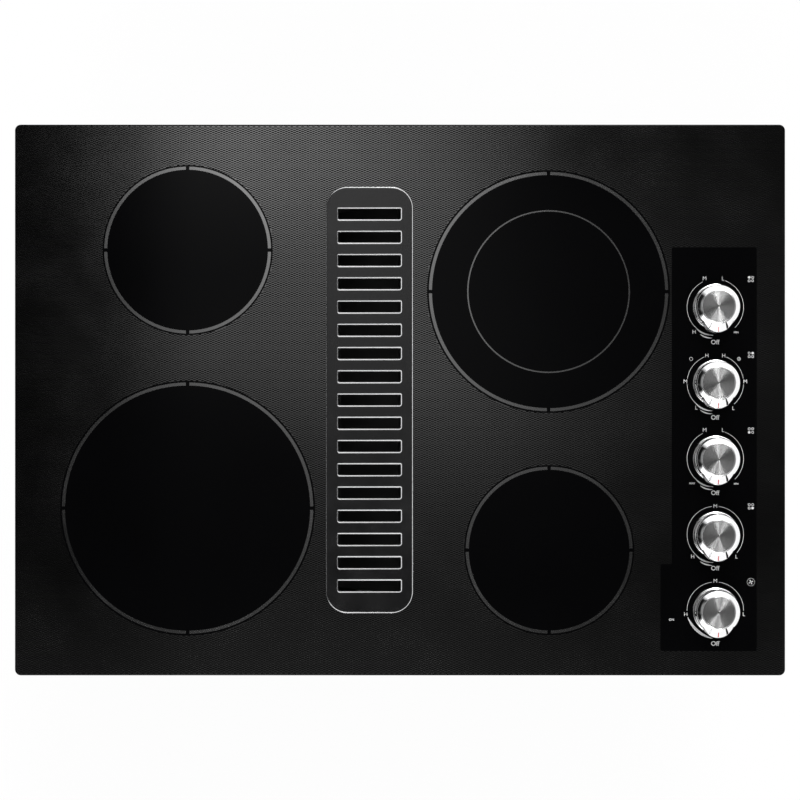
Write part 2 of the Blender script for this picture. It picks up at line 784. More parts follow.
def cap_finish(name):
    """Turned cap: grooves round the centre, read from the piece's own map of angle and radius."""
    f = Finish(name)
    lay = f.node("ShaderNodeUVMap", uv_map="turning")
    part = f.node("ShaderNodeSeparateXYZ", {"Vector": lay.outputs["UV"]})
    ring = f.node("ShaderNodeCombineXYZ", {"Y": part.outputs["Y"]}).outputs["Vector"]
    wide = f.noise(26, 3, ring)
    fine = f.noise(160, 2, ring)
    along = f.node("ShaderNodeTangent", direction_type="UV_MAP", uv_map="turning")
    f.link(along.outputs["Tangent"], f.shader.inputs["Tangent"])
    return f.done(f.tint(grey(0.78), wide, 0.85, 1.1), f.ranged(wide, 0.18, 0.24),
                  f.bump(fine, 0.2, 0.00004), Metallic=1.0, Anisotropic=0.95, Anisotropic_Rotation=0.25)


def fibre_finish(name):
    f = Finish(name)
    fluff = f.noise(420, 6, rough=0.7)
    cloud = f.noise(24, 4)
    return f.done(f.tint((0.86, 0.84, 0.78, 1), cloud, 0.86, 1.06), None,
                  f.bump(fluff, 0.5, 0.0005), Roughness=0.95)


def ribbon_finish(name):
    """Oxidised heating ribbon."""
    f = Finish(name)
    scale = f.noise(260, 4)
    blue = f.noise(35, 3)
    return f.done(f.blend(blue, (0.16, 0.10, 0.07, 1), (0.30, 0.24, 0.20, 1)), f.ranged(scale, 0.45, 0.7),
                  f.bump(scale, 0.3, 0.0001), Metallic=0.85)


def clear_finish(name):
    f = Finish(name)
    cloud = f.noise(30, 3)
    return f.done(f.blend(cloud, (0.80, 0.87, 0.88, 1), (0.9, 0.95, 0.96, 1)),
                  f.middling(cloud, 0.05, 0.12), IOR=1.49, Transmission_Weight=0.92)


FINISHES = {}


def finish(name):
    """The named finish, made on first use."""
    if name in FINISHES:
        return FINISHES[name]
    colours = bpy.context.scene.cooktop_colours
    make, *values = {
        "ceramic_glass": (glass_finish, colours.glass),
        "print_ground": (print_finish, colours.print_grey),
        "print_ring": (print_finish, [min(1, 1.7 * c) for c in colours.print_grey], 0.12),
        "print_dash": (enamel_finish, grey(0.001), 0.5, 1.12),
        "print_mark": (enamel_finish, colours.mark),
        "pointer_red": (enamel_finish, colours.pointer, 0.35),
        "grille_grey": (paint_finish, colours.grille, 0.16, 700, 0.02, 1.8),
        "grille_rim": (metal_finish, (0.8, 0.8, 0.81, 1), 0.22, (1, 1, 1), 300),
        "knob_chrome": (chrome_finish, colours.chrome),
        "cap_steel": (cap_finish,),
        "galvanised": (sheet_finish, (0.5, 0.51, 0.52, 1), 0.38, 0.7, 115),
        "aluminised": (sheet_finish, (0.54, 0.54, 0.53, 1), 0.42, 0.25, 160),
        "spring_steel": (metal_finish, (0.5, 0.48, 0.45, 1), 0.3),
        "shaft_steel": (metal_finish, grey(0.68), 0.28, (1, 1, 60), 40),
        "plated_screw": (metal_finish, (0.72, 0.73, 0.74, 1), 0.25, (40, 40, 1), 90),
        "wheel_metal": (metal_finish, grey(0.5), 0.4, (30, 1, 1), 60),
        "filter_metal": (metal_finish, grey(0.12), 0.5, (1, 8, 1), 200),
        "motor_black": (paint_finish, (0.05, 0.05, 0.055, 1), 0.38),
        "insulation": (fibre_finish,),
        "ribbon": (ribbon_finish,),
        "jar_plastic": (clear_finish,),
        "steatite": (moulded_finish, (0.82, 0.8, 0.74, 1), 0.5, 500, 0.1, 0.2),
        "switch_plastic": (moulded_finish, (0.8, 0.77, 0.69, 1), 0.5),
        "cam_plastic": (moulded_finish, (0.86, 0.84, 0.78, 1), 0.4),
        "dark_plastic": (moulded_finish, (0.04, 0.04, 0.045, 1), 0.45),
        "seal_rubber": (moulded_finish, grey(0.02), 0.7, 700, 0.2),
        "foam": (moulded_finish, grey(0.03), 0.9, 1400, 0.5),
        "cable": (moulded_finish, (0.28, 0.05, 0.035, 1), 0.55, 1600, 0.3),
    }[name]
    FINISHES[name] = make(name, *values)
    return FINISHES[name]


# Glass and print

class COOKTOP_OT_glass(bpy.types.Operator):
    """Glass-ceramic plate with its ground edge, the vent opening and the shaft holes"""

    bl_idname = "cooktop.glass"
    bl_label = "Glass plate"

    def execute(self, context):
        loops = [rounded(0, 0, GLASS_W, GLASS_D, GLASS_CORNER, 10), opening_outline()]
        loops += [circle(at.x, at.y, SHAFT_HOLE, 40) for at in KNOB_AT.values()]
        bevel = context.scene.cooktop_sizes.glass_bevel
        data = plate_mesh("glass_plate", loops, GLASS_LOW.z, TOP_Z, bevel, 3)
        smooth_by_angle(data, 40)
        level_faces_flat(data)
        put("glass_plate", data, "cooktop", "ceramic_glass", nodes=["glass_top"])
        return {"FINISHED"}


class COOKTOP_OT_print(bpy.types.Operator):
    """Printed ground with its rows of dashes, and the rings round the zones"""

    bl_idname = "cooktop.print"
    bl_label = "Print"

    def execute(self, context):
        sizes = context.scene.cooktop_sizes
        inset = sizes.print_inset
        loops = [rounded(0, 0, GLASS_W - 2 * inset, GLASS_D - 2 * inset, GLASS_CORNER - inset, 6),
                 opening_outline(1.5 * MM), panel_outline()]
        loops += [circle(x * MM, y * MM, edge * MM, 160) for x, y, inner, edge in ZONES.values()]
        ground = outline_mesh("print_ground", loops, GROUND_Z)
        face_up(ground)
        base = ground.copy()
        put("print_ground", ground, "cooktop", "ceramic_glass", ["print_ground"])
        columns = int(GLASS_W / sizes.dot_pitch) + 1
        rows = int(GLASS_D / sizes.dot_row) + 1
        values = {"Field width": (columns - 1) * sizes.dot_pitch, "Field depth": (rows - 1) * sizes.dot_row,
                  "Dash pitch": sizes.dot_pitch, "Row pitch": sizes.dot_row,
                  "Dash length": sizes.dot_length, "Dash width": sizes.dot_width,
                  "Height": DASH_Z, "Columns": columns, "Rows": rows, "Finish": finish("print_dash")}
        dashes = run_tree("print_dashes", dash_tree(), base, values)
        put("print_dashes", dashes, "cooktop", "ceramic_glass", ["print_dash"])
        rings = Shape()
        quarter = math.pi / 2
        for x, y, inner, edge in ZONES.values():
            r0 = inner * MM
            gap = RING_BREAK / r0
            r1 = r0 + sizes.ring_width
            for q in range(4):
                band(rings, x * MM, y * MM, r0, r1, 48, q * quarter + gap, (q + 1) * quarter - gap)
        x, y = ZONES["rear_right"][:2]
        band(rings, x * MM, y * MM, *INNER_RING, 160)
        put("print_rings", rings.mesh("print_rings"), "cooktop", "ceramic_glass", ["print_ring"])
        return {"FINISHED"}


# Dials

def words_mesh(text, height, x, y, bold=0.0):
    """Printed word centred on a point, with capitals of the given height."""
    capital_share = 0.7
    curve = bpy.data.curves.new("word", "FONT")
    curve.body = text
    curve.size = height / capital_share
    curve.align_x = "CENTER"
    curve.align_y = "CENTER"
    curve.offset = bold
    curve.resolution_u = 4
    data = drawn_mesh(curve)
    xs = [v.co.x for v in data.vertices]
    ys = [v.co.y for v in data.vertices]
    middle = ((min(xs) + max(xs)) / 2, (min(ys) + max(ys)) / 2)
    data.transform(Matrix.Translation((x - middle[0], y - middle[1], WORD_Z)))
    face_up(data)
    return data


def clock(degrees):
    """Angle of a direction given in degrees clockwise from the rear."""
    return math.radians(90 - degrees)


def swell(t):
    """Share of its width that a swelling arc has along its way."""
    return math.sin(math.pi * t) ** 0.8 + 0.02


def blade(shape, x, y, turn):
    """One petal of the fan mark."""
    points = [(x, y, LINE_Z)]
    spread = 0.9
    for t in range(9):
        a = turn + spread * t / 8
        r = (0.5 + 2.0 * math.sin(math.pi * t / 8) ** 0.6) * MM
        points.append((x + r * math.cos(a), y + r * math.sin(a), LINE_Z))
    shape.add(points, [[0, k, k + 1] for k in range(1, 9)])


class COOKTOP_OT_dials(bpy.types.Operator):
    """Printed dials: rings, letters, zone marks and the fan mark"""

    bl_idname = "cooktop.dials"
    bl_label = "Dial print"

    def execute(self, context):
        radius = context.scene.cooktop_sizes.dial_radius
        lines = Shape()
        letters = []
        for c, dial in DIALS.items():
            x, y = KNOB_AT[c].x, KNOB_AT[c].y
            for a0, a1 in dial["arcs"]:
                band(lines, x, y, radius - DIAL_LINE, radius + DIAL_LINE, 64, clock(a0), clock(a1))
            for r0, r1, a0, a1, steps in FAN_SWELLS if c == "fan" else HEAT_SWELLS:
                band(lines, x, y, radius + r0 * MM, radius + r1 * MM, steps, clock(a0), clock(a1), swell)
            for text, turn, reach in dial["letters"]:
                a = clock(turn)
                letters.append(words_mesh(text, LETTER_HEIGHT, x + reach * MM * math.cos(a),
                                          y + reach * MM * math.sin(a)))
            for text, dx, dy in dial["words"]:
                letters.append(words_mesh(text, SMALL_HEIGHT, x + dx * MM, y + dy * MM, 0.03 * MM))
            letters.append(words_mesh("Off", OFF_HEIGHT, x, y - dial["off"] * MM, 0.12 * MM))
            self.mark(lines, x + ZONE_MARK[0] * MM, y + ZONE_MARK[1] * MM, dial["zone"])
        x, y = KNOB_AT["rear_right"].x, KNOB_AT["rear_right"].y
        for dx, r0, r1, steps in RING_MARKS:
            band(lines, x + dx * MM, y + RING_MARK_Y * MM, r0 * MM, r1 * MM, steps)
        letters.append(words_mesh("ON", LAMP_WORD_HEIGHT, *LAMP_WORD_AT, 0.05 * MM))
        line_mesh = lines.mesh("dial_lines")
        face_up(line_mesh)
        put("dial_lines", line_mesh, "cooktop", "ceramic_glass", ["print_mark"])
        put("dial_letters", merged(letters, "dial_letters"), "cooktop", "ceramic_glass", ["print_mark"])
        return {"FINISHED"}

    def mark(self, lines, x, y, zone):
        """Four dots with the control's own zone filled, or the fan mark where there is no zone."""
        if zone is None:
            band(lines, x, y, *FAN_RING, 40)
            for k in range(4):
                blade(lines, x, y, k * math.pi / 2)
            return
        for k, (sx, sy) in enumerate(((-1, 1), (1, 1), (-1, -1), (1, -1))):
            inner = 0.001 * MM if k == zone else DOT_INNER
            band(lines, x + sx * DOT_OFFSET, y + sy * DOT_OFFSET, inner, DOT_R, 20)


# Knobs

def soft_min(a, b, k):
    """Smaller of two values with a soft change from one to the other."""
    h = min(max(0.5 + 0.5 * (b - a) / k, 0), 1)
    return b * (1 - h) + a * h - k * h * (1 - h)


def knob_reach(angle):
    """Radius of the knob's wall in mm, with the angle in degrees from the pointer nose."""
    a = math.radians(abs((angle + 180) % 360 - 180))
    flank = WALL_R / math.cos(a - FLANK_ENDS) if a < FLANK_ENDS else WALL_R
    if a > NOSE_ENDS:
        return flank
    nose = NOSE_CENTRE * math.cos(a) + math.sqrt(NOSE_R ** 2 - (NOSE_CENTRE * math.sin(a)) ** 2)
    return soft_min(nose, flank, 0.6)


def knob_top(r):
    """Height of the sloping shoulder in mm at a radius."""
    if r < WALL_R:
        t = (r - 16.9) / 5.1
        return KNOB_HEIGHT - 2.3 * t - 0.9 * t * t
    return 21.3 - (r - WALL_R) * 0.68


def nose_crease(r, angle):
    """Depth in mm of the crease that sets the nose off from the shoulder."""
    a = math.radians(angle)
    side, ahead = abs(r * math.sin(a)), r * math.cos(a)
    starts, deepest, fade = 15, 0.9, 1.5
    edge = 7.2 + (ahead - 16) * 0.37
    half = 0.8 + (ahead - 16) * 0.09
    if ahead < starts or abs(side - edge) > half:
        return 0
    return deepest * (1 - abs(side - edge) / half) * min(1, (ahead - starts) / fade)


def knob_angles():
    """Degrees from the nose, closer together where the creases are."""
    angles = []
    a = -180.0
    while a < 180:
        angles.append(a)
        a += 0.75 if 15 < abs(a) < 39 else 3.0
    return angles


def knob_mesh(name, x, y, z):
    """Hollow knob: bore, foot flange, drop-shaped wall, creased shoulder and the seat of the cap."""
    angles = knob_angles()
    walls = [knob_reach(a) for a in angles]
    feet = [max(FLANGE_R, wall + 0.25) for wall in walls]
    rings = [[(x, y, z + KNOB_HOLLOW[0][1] * MM)]]

    def ring(reaches, level):
        """Ring of points; level(radius, degrees) gives the height of each."""
        points = []
        for a, r in zip(angles, reaches):
            turn = math.radians(a - 90)
            points.append((x + r * MM * math.cos(turn), y + r * MM * math.sin(turn), z + level(r, a) * MM))
        rings.append(points)

    for r, h in KNOB_HOLLOW:
        ring([r] * len(angles), lambda r, a: h)
    for reaches, rows in ((feet, KNOB_FLANGE), (walls, KNOB_WALL)):
        for shrink, h in rows:
            ring([reach - shrink for reach in reaches], lambda r, a: h)
    for shrink, drop in KNOB_EDGE:
        ring([wall - shrink for wall in walls], lambda r, a: knob_top(r) - drop)
    steps = 8
    for k in range(1, steps):
        t = k / steps
        reaches = [(wall - KNOB_EDGE[-1][0]) * (1 - t) + SHOULDER_R * t for wall in walls]
        ring(reaches, lambda r, a: knob_top(r) - nose_crease(r, a))
    for r, h in KNOB_SEAT:
        ring([r] * len(angles), lambda r, a: h)
    rings.append([(x, y, z + KNOB_SEAT[-1][1] * MM)])
    shape = Shape()
    shape.rings(rings)
    data = shape.mesh(name)
    close_up(data, 1e-7)
    smooth_by_angle(data, 42)
    dark = []
    for f in data.polygons:
        p = (f.center - Vector((x, y, z))) / MM
        r = math.hypot(p.x, p.y)
        turn = math.degrees(math.atan2(p.x, -p.y))
        shaded = p.x > 0 and p.z > 18 and SHOULDER_R < r < knob_reach(turn) - 0.5
        dark.append(1 if shaded and nose_crease(r, turn) > 0.1 else 0)
    data.polygons.foreach_set("material_index", dark)
    return data


class COOKTOP_OT_knobs(bpy.types.Operator):
    """Plated knobs with their pointer noses and red lines"""

    bl_idname = "cooktop.knobs"
    bl_label = "Knobs"

    def execute(self, context):
        for c, at in KNOB_AT.items():
            body = "control_" + c
            data = knob_mesh("knob_shell_" + c, at.x, at.y, KNOB_FOOT)
            put("knob_shell_" + c, data, body, "knob_chrome", ["knob_chrome", "print_dash"], ["knob_" + c])
            name = "pointer_line_" + c
            put(name, self.pointer(at).mesh(name), body, "knob_chrome", ["pointer_red"])
        return {"FINISHED"}

    def pointer(self, at):
        """Line along the nose, from the shoulder down over the tip."""
        start, end, steps = 20.3, 25.3, 10
        half_width = 0.42 * MM
        spots = []
        for k in range(steps + 1):
            r = start + (end - start) * k / steps
            spots.append((r, knob_top(r) + 0.07))
        spots += [(26.02, knob_top(25.95) - drop) for drop in (0.5, 2.6)]
        points = []
        for r, level in spots:
            for side in (-1, 1):
                points.append((at.x + side * half_width, at.y - r * MM, KNOB_FOOT + level * MM))
        line = Shape()
        line.add(points, [[2 * k, 2 * k + 2, 2 * k + 3, 2 * k + 1] for k in range(len(spots) - 1)])
        return line


def cap_mesh(name, x, y, low, high, radius):
    """Turned disc with a map of angle and radius for its grooves, and a small dark dot in its middle."""
    count = 120
    edge = 0.25 * MM
    dot = 0.82 * MM
    start = 0.9 * MM
    reach = radius - edge
    profile = [(0, high - 0.12 * MM), (0.7 * MM, high - 0.12 * MM), (dot, high - 0.02 * MM), (start, high)]
    profile += [(start + (reach - 0.94 * MM) * k / 11, high) for k in range(1, 12)]
    profile += [(reach, high), (radius - 0.07 * MM, high - 0.09 * MM), (radius, high - edge), (radius, low),
                (0, low)]
    points = []
    spots = []
    for r, h in profile:
        for k in range(count + 1):
            a = FULL_TURN * k / count
            points.append((x + r * math.cos(a), y + r * math.sin(a), h))
            spots.append((k / count, r / radius))
    faces = []
    row = count + 1
    for j in range(len(profile) - 1):
        for k in range(count):
            a = j * row + k
            b = a + row
            if profile[j][0] == 0:
                faces.append([a, b, b + 1])
            elif profile[j + 1][0] == 0:
                faces.append([a, b, a + 1])
            else:
                faces.append([a, b, b + 1, a + 1])
    data = bpy.data.meshes.new(name)
    data.from_pydata(points, [], faces)
    layer = data.uv_layers.new(name="turning")
    for loop in data.loops:
        layer.data[loop.index].uv = spots[loop.vertex_index]
    with edited(data) as work:
        bmesh.ops.remove_doubles(work, verts=work.verts, dist=1e-8)
        bmesh.ops.recalc_face_normals(work, faces=work.faces)
    smooth_by_angle(data, 30)
    middle = Vector((x, y, high))
    dark = [1 if (f.center - middle).length < dot else 0 for f in data.polygons]
    data.polygons.foreach_set("material_index", dark)
    return data


class COOKTOP_OT_caps(bpy.types.Operator):
    """Turned caps in the tops of the knobs"""

    bl_idname = "cooktop.caps"
    bl_label = "Knob caps"

    def execute(self, context):
        for c in CONTROLS:
            low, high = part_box("cap_" + c)
            middle = (low + high) / 2
            data = cap_mesh("knob_cap_" + c, middle.x, middle.y, low.z, high.z, (high.x - low.x) / 2)
            put("knob_cap_" + c, data, "control_" + c, "cap_steel", ["cap_steel", "print_dash"],
                ["cap_" + c])
        return {"FINISHED"}


# Vent

class COOKTOP_OT_grille(bpy.types.Operator):
    """Raised vent grille with its slots and locating skirt"""

    bl_idname = "cooktop.grille"
    bl_label = "Vent grille"

    def execute(self, context):
        sizes = context.scene.cooktop_sizes
        pitch = 2 * FIRST_SLOT_Y / (sizes.slot_count - 1)
        slots = [FIRST_SLOT_Y - k * pitch for k in range(sizes.slot_count)]
        low, high = GRILLE_LOW, GRILLE_HIGH
        field = high.z - LIP_HEIGHT
        loops = [rounded(VENT_X, 0, high.x - low.x, high.y - low.y, GRILLE_CORNER, 14)]
        loops += [slot_outline(y) for y in slots]
        plate = plate_mesh("grille_plate", loops, TOP_Z, field, sizes.grille_bevel, 3)
        rim = [1 if 0.15 < f.normal.z < 0.97 else 0 for f in plate.polygons]
        plate.polygons.foreach_set("material_index", rim)
        smooth_by_angle(plate, 40)
        level_faces_flat(plate)
        lips = Shape()
        for y in slots:
            self.lip(lips, y, field)
        lip = lips.mesh("grille_lips", 30)
        lip.polygons.foreach_set("material_index", [1] * len(lip.polygons))
        loops = [rounded(VENT_X, 0, *outline) for outline in SKIRT_OUTLINES]
        skirt = plate_mesh("grille_skirt", loops, low.z, TOP_Z + 0.2 * MM, 0.2 * MM, 1)
        smooth_by_angle(skirt, 40)
        put("grille_plate", merged([plate, lip, skirt], "grille_plate"), "grille", "grille_grey",
            ["grille_grey", "grille_rim"], ["vent_grille"])
        return {"FINISHED"}

    def lip(self, shape, y, field):
        """Raised lip round a slot: an upright inner wall, a narrow crest and a slanting outer side."""
        crest = field + LIP_HEIGHT
        rings = []
        for grow, z in ((0, field - 2 * MM), (0, crest), (0.15 * MM, crest), (0.95 * MM, field - 0.1 * MM),
                        (0.95 * MM, field - 0.5 * MM)):
            rings.append([(px, py, z) for px, py in slot_outline(y, grow)][::-1])
        shape.rings(rings)


# Pressed and turned details, in mm

def rib_shape(length, width, height, steps=6):
    """Pressed bead along X with round ends, standing up from z 0."""
    shape = Shape()
    rings = []
    for k in range(steps + 1):
        rise = k / steps * math.pi / 2
        reach = width / 2 * (0.25 + 0.75 * math.cos(rise))
        ring = []
        for side, turn in ((1, -90), (-1, 90)):
            for j in range(9):
                a = math.radians(turn + 180 * j / 8)
                ring.append((side * (length - width) / 2 + reach * math.cos(a), reach * math.sin(a),
                             height * math.sin(rise) - 0.05))
        rings.append(ring)
    shape.rings(rings)
    shape.add(rings[-1], [list(range(len(rings[-1])))])
    return shape


def turned_shape(profile, count):
    shape = Shape()
    shape.lathe(profile, count)
    return shape


def louvre_shape(length, width, height):
    """Pressed hood, open along its lower edge."""
    shape = Shape()
    rows = []
    for k in range(7):
        t = k / 6
        row = []
        for j in range(13):
            u = -1 + 2 * j / 12
            dome = max(1 - u ** 6, 0) ** 0.5
            rise = height * dome * math.sin(t * math.pi / 2)
            row.append((u * length / 2, -width / 2 + width * t, rise - 0.03))
        rows.append(row)
    shape.rings(rows, closed=False)
    shape.add([(x, y, -0.03) for x, y, z in rows[-1]] + rows[-1],
              [[k, k + 1, 14 + k, 13 + k] for k in range(12)])
    return shape


def screw_shape():
    """Pan head with a cross recess, its top at z 0 and its shank below."""
    count = 24
    arm, half = 1.5, 0.34
    rings = [[(0, 0, -7.8)]]
    for r, z in ((1.1, -7.8), (1.5, -7.2), (1.5, -1.8), (3.0, -1.8), (3.0, -0.9), (2.75, -0.35),
                 (2.2, -0.08), (1.75, 0.0)):
        rings.append([(r * c, r * s, z) for c, s in spokes(count)])
    for z, share in ((-0.02, 1), (-0.9, 0.8)):
        ring = []
        for c, s in spokes(count):
            reach = min(arm, half / max(min(abs(c), abs(s)), 1e-4))
            ring.append((reach * c * share, reach * s * share, z))
        rings.append(ring)
    rings.append([(0, 0, -1.1)])
    shape = Shape()
    shape.rings(rings)
    return shape


class COOKTOP_OT_box(bpy.types.Operator):
    """Pressed beads, spot welds and louvres of the burner box and the junction box"""

    bl_idname = "cooktop.box"
    bl_label = "Burner box details"

    def execute(self, context):
        low, high = mm_box("burner_box")
        floor = low.z
        beads = [((x, 0, floor), DOWN, ALONG_Y) for x in (-330, -250, -170, 160, 235)]
        repeated("box_beads", beads, rib_shape(430, 12, 1.6), "galvanised")
        beads = [((60, y, floor), DOWN, ALONG_X) for y in (-225, -200, 130, 165, 200)]
        repeated("box_short_beads", beads, rib_shape(60, 9, 1.4), "galvanised")
        flange, inset = 9, 8
        upper_row, hood_row, well_row, blank_row = -9, -40, -84, -97
        wall_x, wall_y = high.x - flange, high.y - flange
        welds = []
        for k in range(12):
            x = -335 + 670 * k / 11
            for side in (-1, 1):
                welds.append(((x, side * wall_y, upper_row), (0, side, 0), ALONG_X))
                if not 284 < x < 360 or side < 0:
                    welds.append(((x, side * (wall_y - inset), floor), DOWN, ALONG_X))
        for k in range(8):
            y = -225 + 450 * k / 7
            for side in (-1, 1):
                welds.append(((side * wall_x, y, upper_row), (side, 0, 0), ALONG_Y))
                welds.append(((side * (wall_x - inset), y, floor), DOWN, ALONG_Y))
        well_low, well_high = mm_box("vent_well")
        for k in range(9):
            y = -200 + 50 * k
            for x, side in ((well_low.x + 9, -1), (well_high.x - 9, 1)):
                if side < 0 or y > 90 or y < -170:
                    welds.append(((x, y, well_row), (side, 0, 0), ALONG_Y))
        r = 2.4
        weld = turned_shape([(r, -0.05), (r * 0.92, 0.12), (r * 0.7, 0.16), (r * 0.5, 0.05), (0, 0.04)], 16)
        repeated("box_spot_welds", welds, weld, "galvanised")
        hoods = [((295 + 7.5 * k, -wall_y, hood_row), (0, -1, 0), ALONG_Z) for k in range(9)]
        for k in range(12):
            hoods += [((side * wall_x, -55 + 10 * k, hood_row), (side, 0, 0), ALONG_Z) for side in (-1, 1)]
        repeated("box_louvres", hoods, louvre_shape(34, 5, 2.2), "galvanised")
        laps = Shape()
        for sx in (-1, 1):
            for sy in (-1, 1):
                place = Matrix.Translation((sx * (wall_x - 9) * MM, sy * wall_y * MM, -38 * MM))
                laps.block((-7 * MM, -0.5 * MM, -36 * MM), (7 * MM, 0.5 * MM, 36 * MM), place)
        put("box_corner_laps", laps.mesh("box_corner_laps"), "cooktop", "galvanised")
        low, high = mm_box("junction_box")
        y = (low.y + high.y) / 2
        places = [((low.x, y, blank_row), (-1, 0, 0), ALONG_Y), ((high.x, y, blank_row), ALONG_X, ALONG_Y),
                  ((low.x + 18, high.y, blank_row), ALONG_Y, ALONG_X)]
        blank = turned_shape([(9, -0.05), (9, 0.3), (8.2, 0.5), (7.6, 0.1), (0, 0.1)], 32)
        repeated("junction_blanks", places, blank, "galvanised")
        return {"FINISHED"}


class COOKTOP_OT_blower(bpy.types.Operator):
    """Beads of the blower cover, ribs of the motor, and the duct's beads and crimps"""

    bl_idname = "cooktop.blower"
    bl_label = "Blower details"

    def execute(self, context):
        self.motor()
        self.duct()
        return {"FINISHED"}

    def motor(self):
        low, high = mm_box("blower_motor")
        y, z = (low.y + high.y) / 2, (low.z + high.z) / 2
        cover_x = mm_box("scroll_cover")[1].x
        ring = Shape()
        ring.lathe([(88.5, -0.05), (87.8, 0.7), (86, 1.0), (84.2, 0.7), (83.5, -0.05)], 96,
                   turned((cover_x, y, z), "X"))
        put_mm("cover_bead", ring, "cooktop", "galvanised")
        r = (high.y - low.y) / 2
        fins = [(p, out, ALONG_X) for p, out in places_about((cover_x + 31, y, z), r, "X", 36)]
        repeated("motor_ribs", fins, rib_shape(36, 2.2, 0.9, 3), "motor_black")
        end = (high.x - 6, y, z)
        rings = Shape()
        rings.lathe([(38, -0.05), (37.5, 0.6), (35, 0.6), (34.5, -0.05)], 72, turned(end, "X"))
        rings.lathe([(24, -0.05), (23.5, 0.9), (21, 0.9), (20.5, -0.05)], 60, turned(end, "X"))
        put_mm("motor_end_rings", rings, "cooktop", "motor_black")
        bolt = turned_shape([(3.2, -0.05), (3.2, 1.6), (2.8, 2.0), (1.5, 2.05), (1.3, 1.0), (0, 1.0)], 6)
        bolt_circle = 29.5
        bolts = [(p, ALONG_X, ALONG_Y) for p, out in places_about(end, bolt_circle, "X", 4, math.pi / 4)]
        repeated("motor_bolts", bolts, bolt, "plated_screw")
        vents = [(p, ALONG_X, out) for k, (p, out) in enumerate(places_about(end, bolt_circle, "X", 20))
                 if k % 5 not in (2, 3)]
        repeated("motor_vents", vents, rib_shape(7, 2.0, 0.25, 2), "motor_black", look="print_dash")

    def duct(self):
        low, high = mm_box("duct_collar")
        x, z = (low.x + high.x) / 2, (low.z + high.z) / 2
        mouth = high.y
        r = 75
        beads = Shape()
        for y in (mouth - 16, mouth - 38):
            beads.lathe([(r - 0.1, -3), (r + 0.7, -1.9), (r + 1.2, 0), (r + 0.7, 1.9), (r - 0.1, 3)], 96,
                        turned((x, y, z), "Y"))
        put_mm("duct_beads", beads, "cooktop", "galvanised")
        crimps = [(p, out, ALONG_Y) for p, out in places_about((x, mouth - 5.5, z), r, "Y", 54)]
        repeated("duct_crimps", crimps, rib_shape(10, 3.4, 0.6, 3), "galvanised")
        low, high = mm_box("damper_flap")
        disc = Shape()
        for side, way in ((1, "Y"), (-1, "-Y")):
            centre = ((low.x + high.x) / 2, (low.y + high.y) / 2 + side * 0.6, (low.z + high.z) / 2)
            disc.lathe([(56, -0.05), (55.2, 0.7), (53.5, 0.7), (52.7, -0.05)], 80, turned(centre, way))
        put_mm("flap_bead", disc, "damper", "galvanised")


class COOKTOP_OT_jar(bpy.types.Operator):
    """Level marks of the overflow jar and the grip ribs of its collar"""

    bl_idname = "cooktop.jar"
    bl_label = "Overflow jar details"

    def execute(self, context):
        low, high = mm_box("overflow_jar")
        x, y = (low.x + high.x) / 2, (low.y + high.y) / 2
        r = (high.x - low.x) / 2
        marks = Shape()
        first_mark, mark_pitch = 14, 12
        for k in range(4):
            place = Matrix.Translation((x, y, low.z + first_mark + mark_pitch * k))
            marks.lathe([(r - 0.02, -0.5), (r + 0.28, -0.2), (r + 0.28, 0.2), (r - 0.02, 0.5)], 72, place)
        put_mm("jar_marks", marks, "jar", "jar_plastic")
        collar_top = mm_box("jar_collar")[1].z
        collar_r = 39
        grips = [(p, out, ALONG_Z) for p, out in places_about((x, y, collar_top - 1), collar_r, "Z", 60)]
        repeated("collar_grips", grips, rib_shape(2, 1.6, 0.5, 2), "dark_plastic")
        return {"FINISHED"}


def loose_parts(node):
    """Boxes of the separate shells in a node."""
    work = bmesh.new()
    work.from_mesh(frame["nodes"][node].data)
    bmesh.ops.remove_doubles(work, verts=work.verts, dist=2e-6)
    seen = set()
    boxes = []
    for first in work.verts:
        if first in seen:
            continue
        seen.add(first)
        stack = [first]
        low, high = first.co.copy(), first.co.copy()
        while stack:
            a = stack.pop()
            low = Vector([min(p, q) for p, q in zip(low, a.co)])
            high = Vector([max(p, q) for p, q in zip(high, a.co)])
            for e in a.link_edges:
                b = e.other_vert(a)
                if b not in seen:
                    seen.add(b)
                    stack.append(b)
        boxes.append((low, high))
    work.free()
    return boxes


class COOKTOP_OT_fasteners(bpy.types.Operator):
    """Cross-recessed screws and the threads of the clamp screws"""

    bl_idname = "cooktop.fasteners"
    bl_label = "Screws"

    def execute(self, context):
        places = []
        for low, high in loose_parts("chassis_screws"):
            middle = (low + high) / 2
            if high.z - low.z > high.x - low.x:
                places.append((Vector((middle.x, middle.y, high.z)) / MM, ALONG_Z, ALONG_X))
            else:
                places.append((Vector((high.x, middle.y, middle.z)) / MM, ALONG_X, ALONG_Y))
        thing = repeated("screw_heads", places, screw_shape(), "plated_screw", smooth_below=40)
        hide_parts("chassis_screws")
        turns = []
        thread_pitch = 1.15
        for low, high in loose_parts("clamp_screws"):
            middle = (low + high) / 2 / MM
            start = low.z / MM + 8
            turns += [((middle.x, middle.y, start + thread_pitch * k), ALONG_Z, ALONG_X) for k in range(42)]
        thread = turned_shape([(2.95, -0.35), (3.3, 0), (2.95, 0.35)], 14)
        repeated("clamp_threads", turns, thread, "plated_screw")
        return {"FINISHED"}


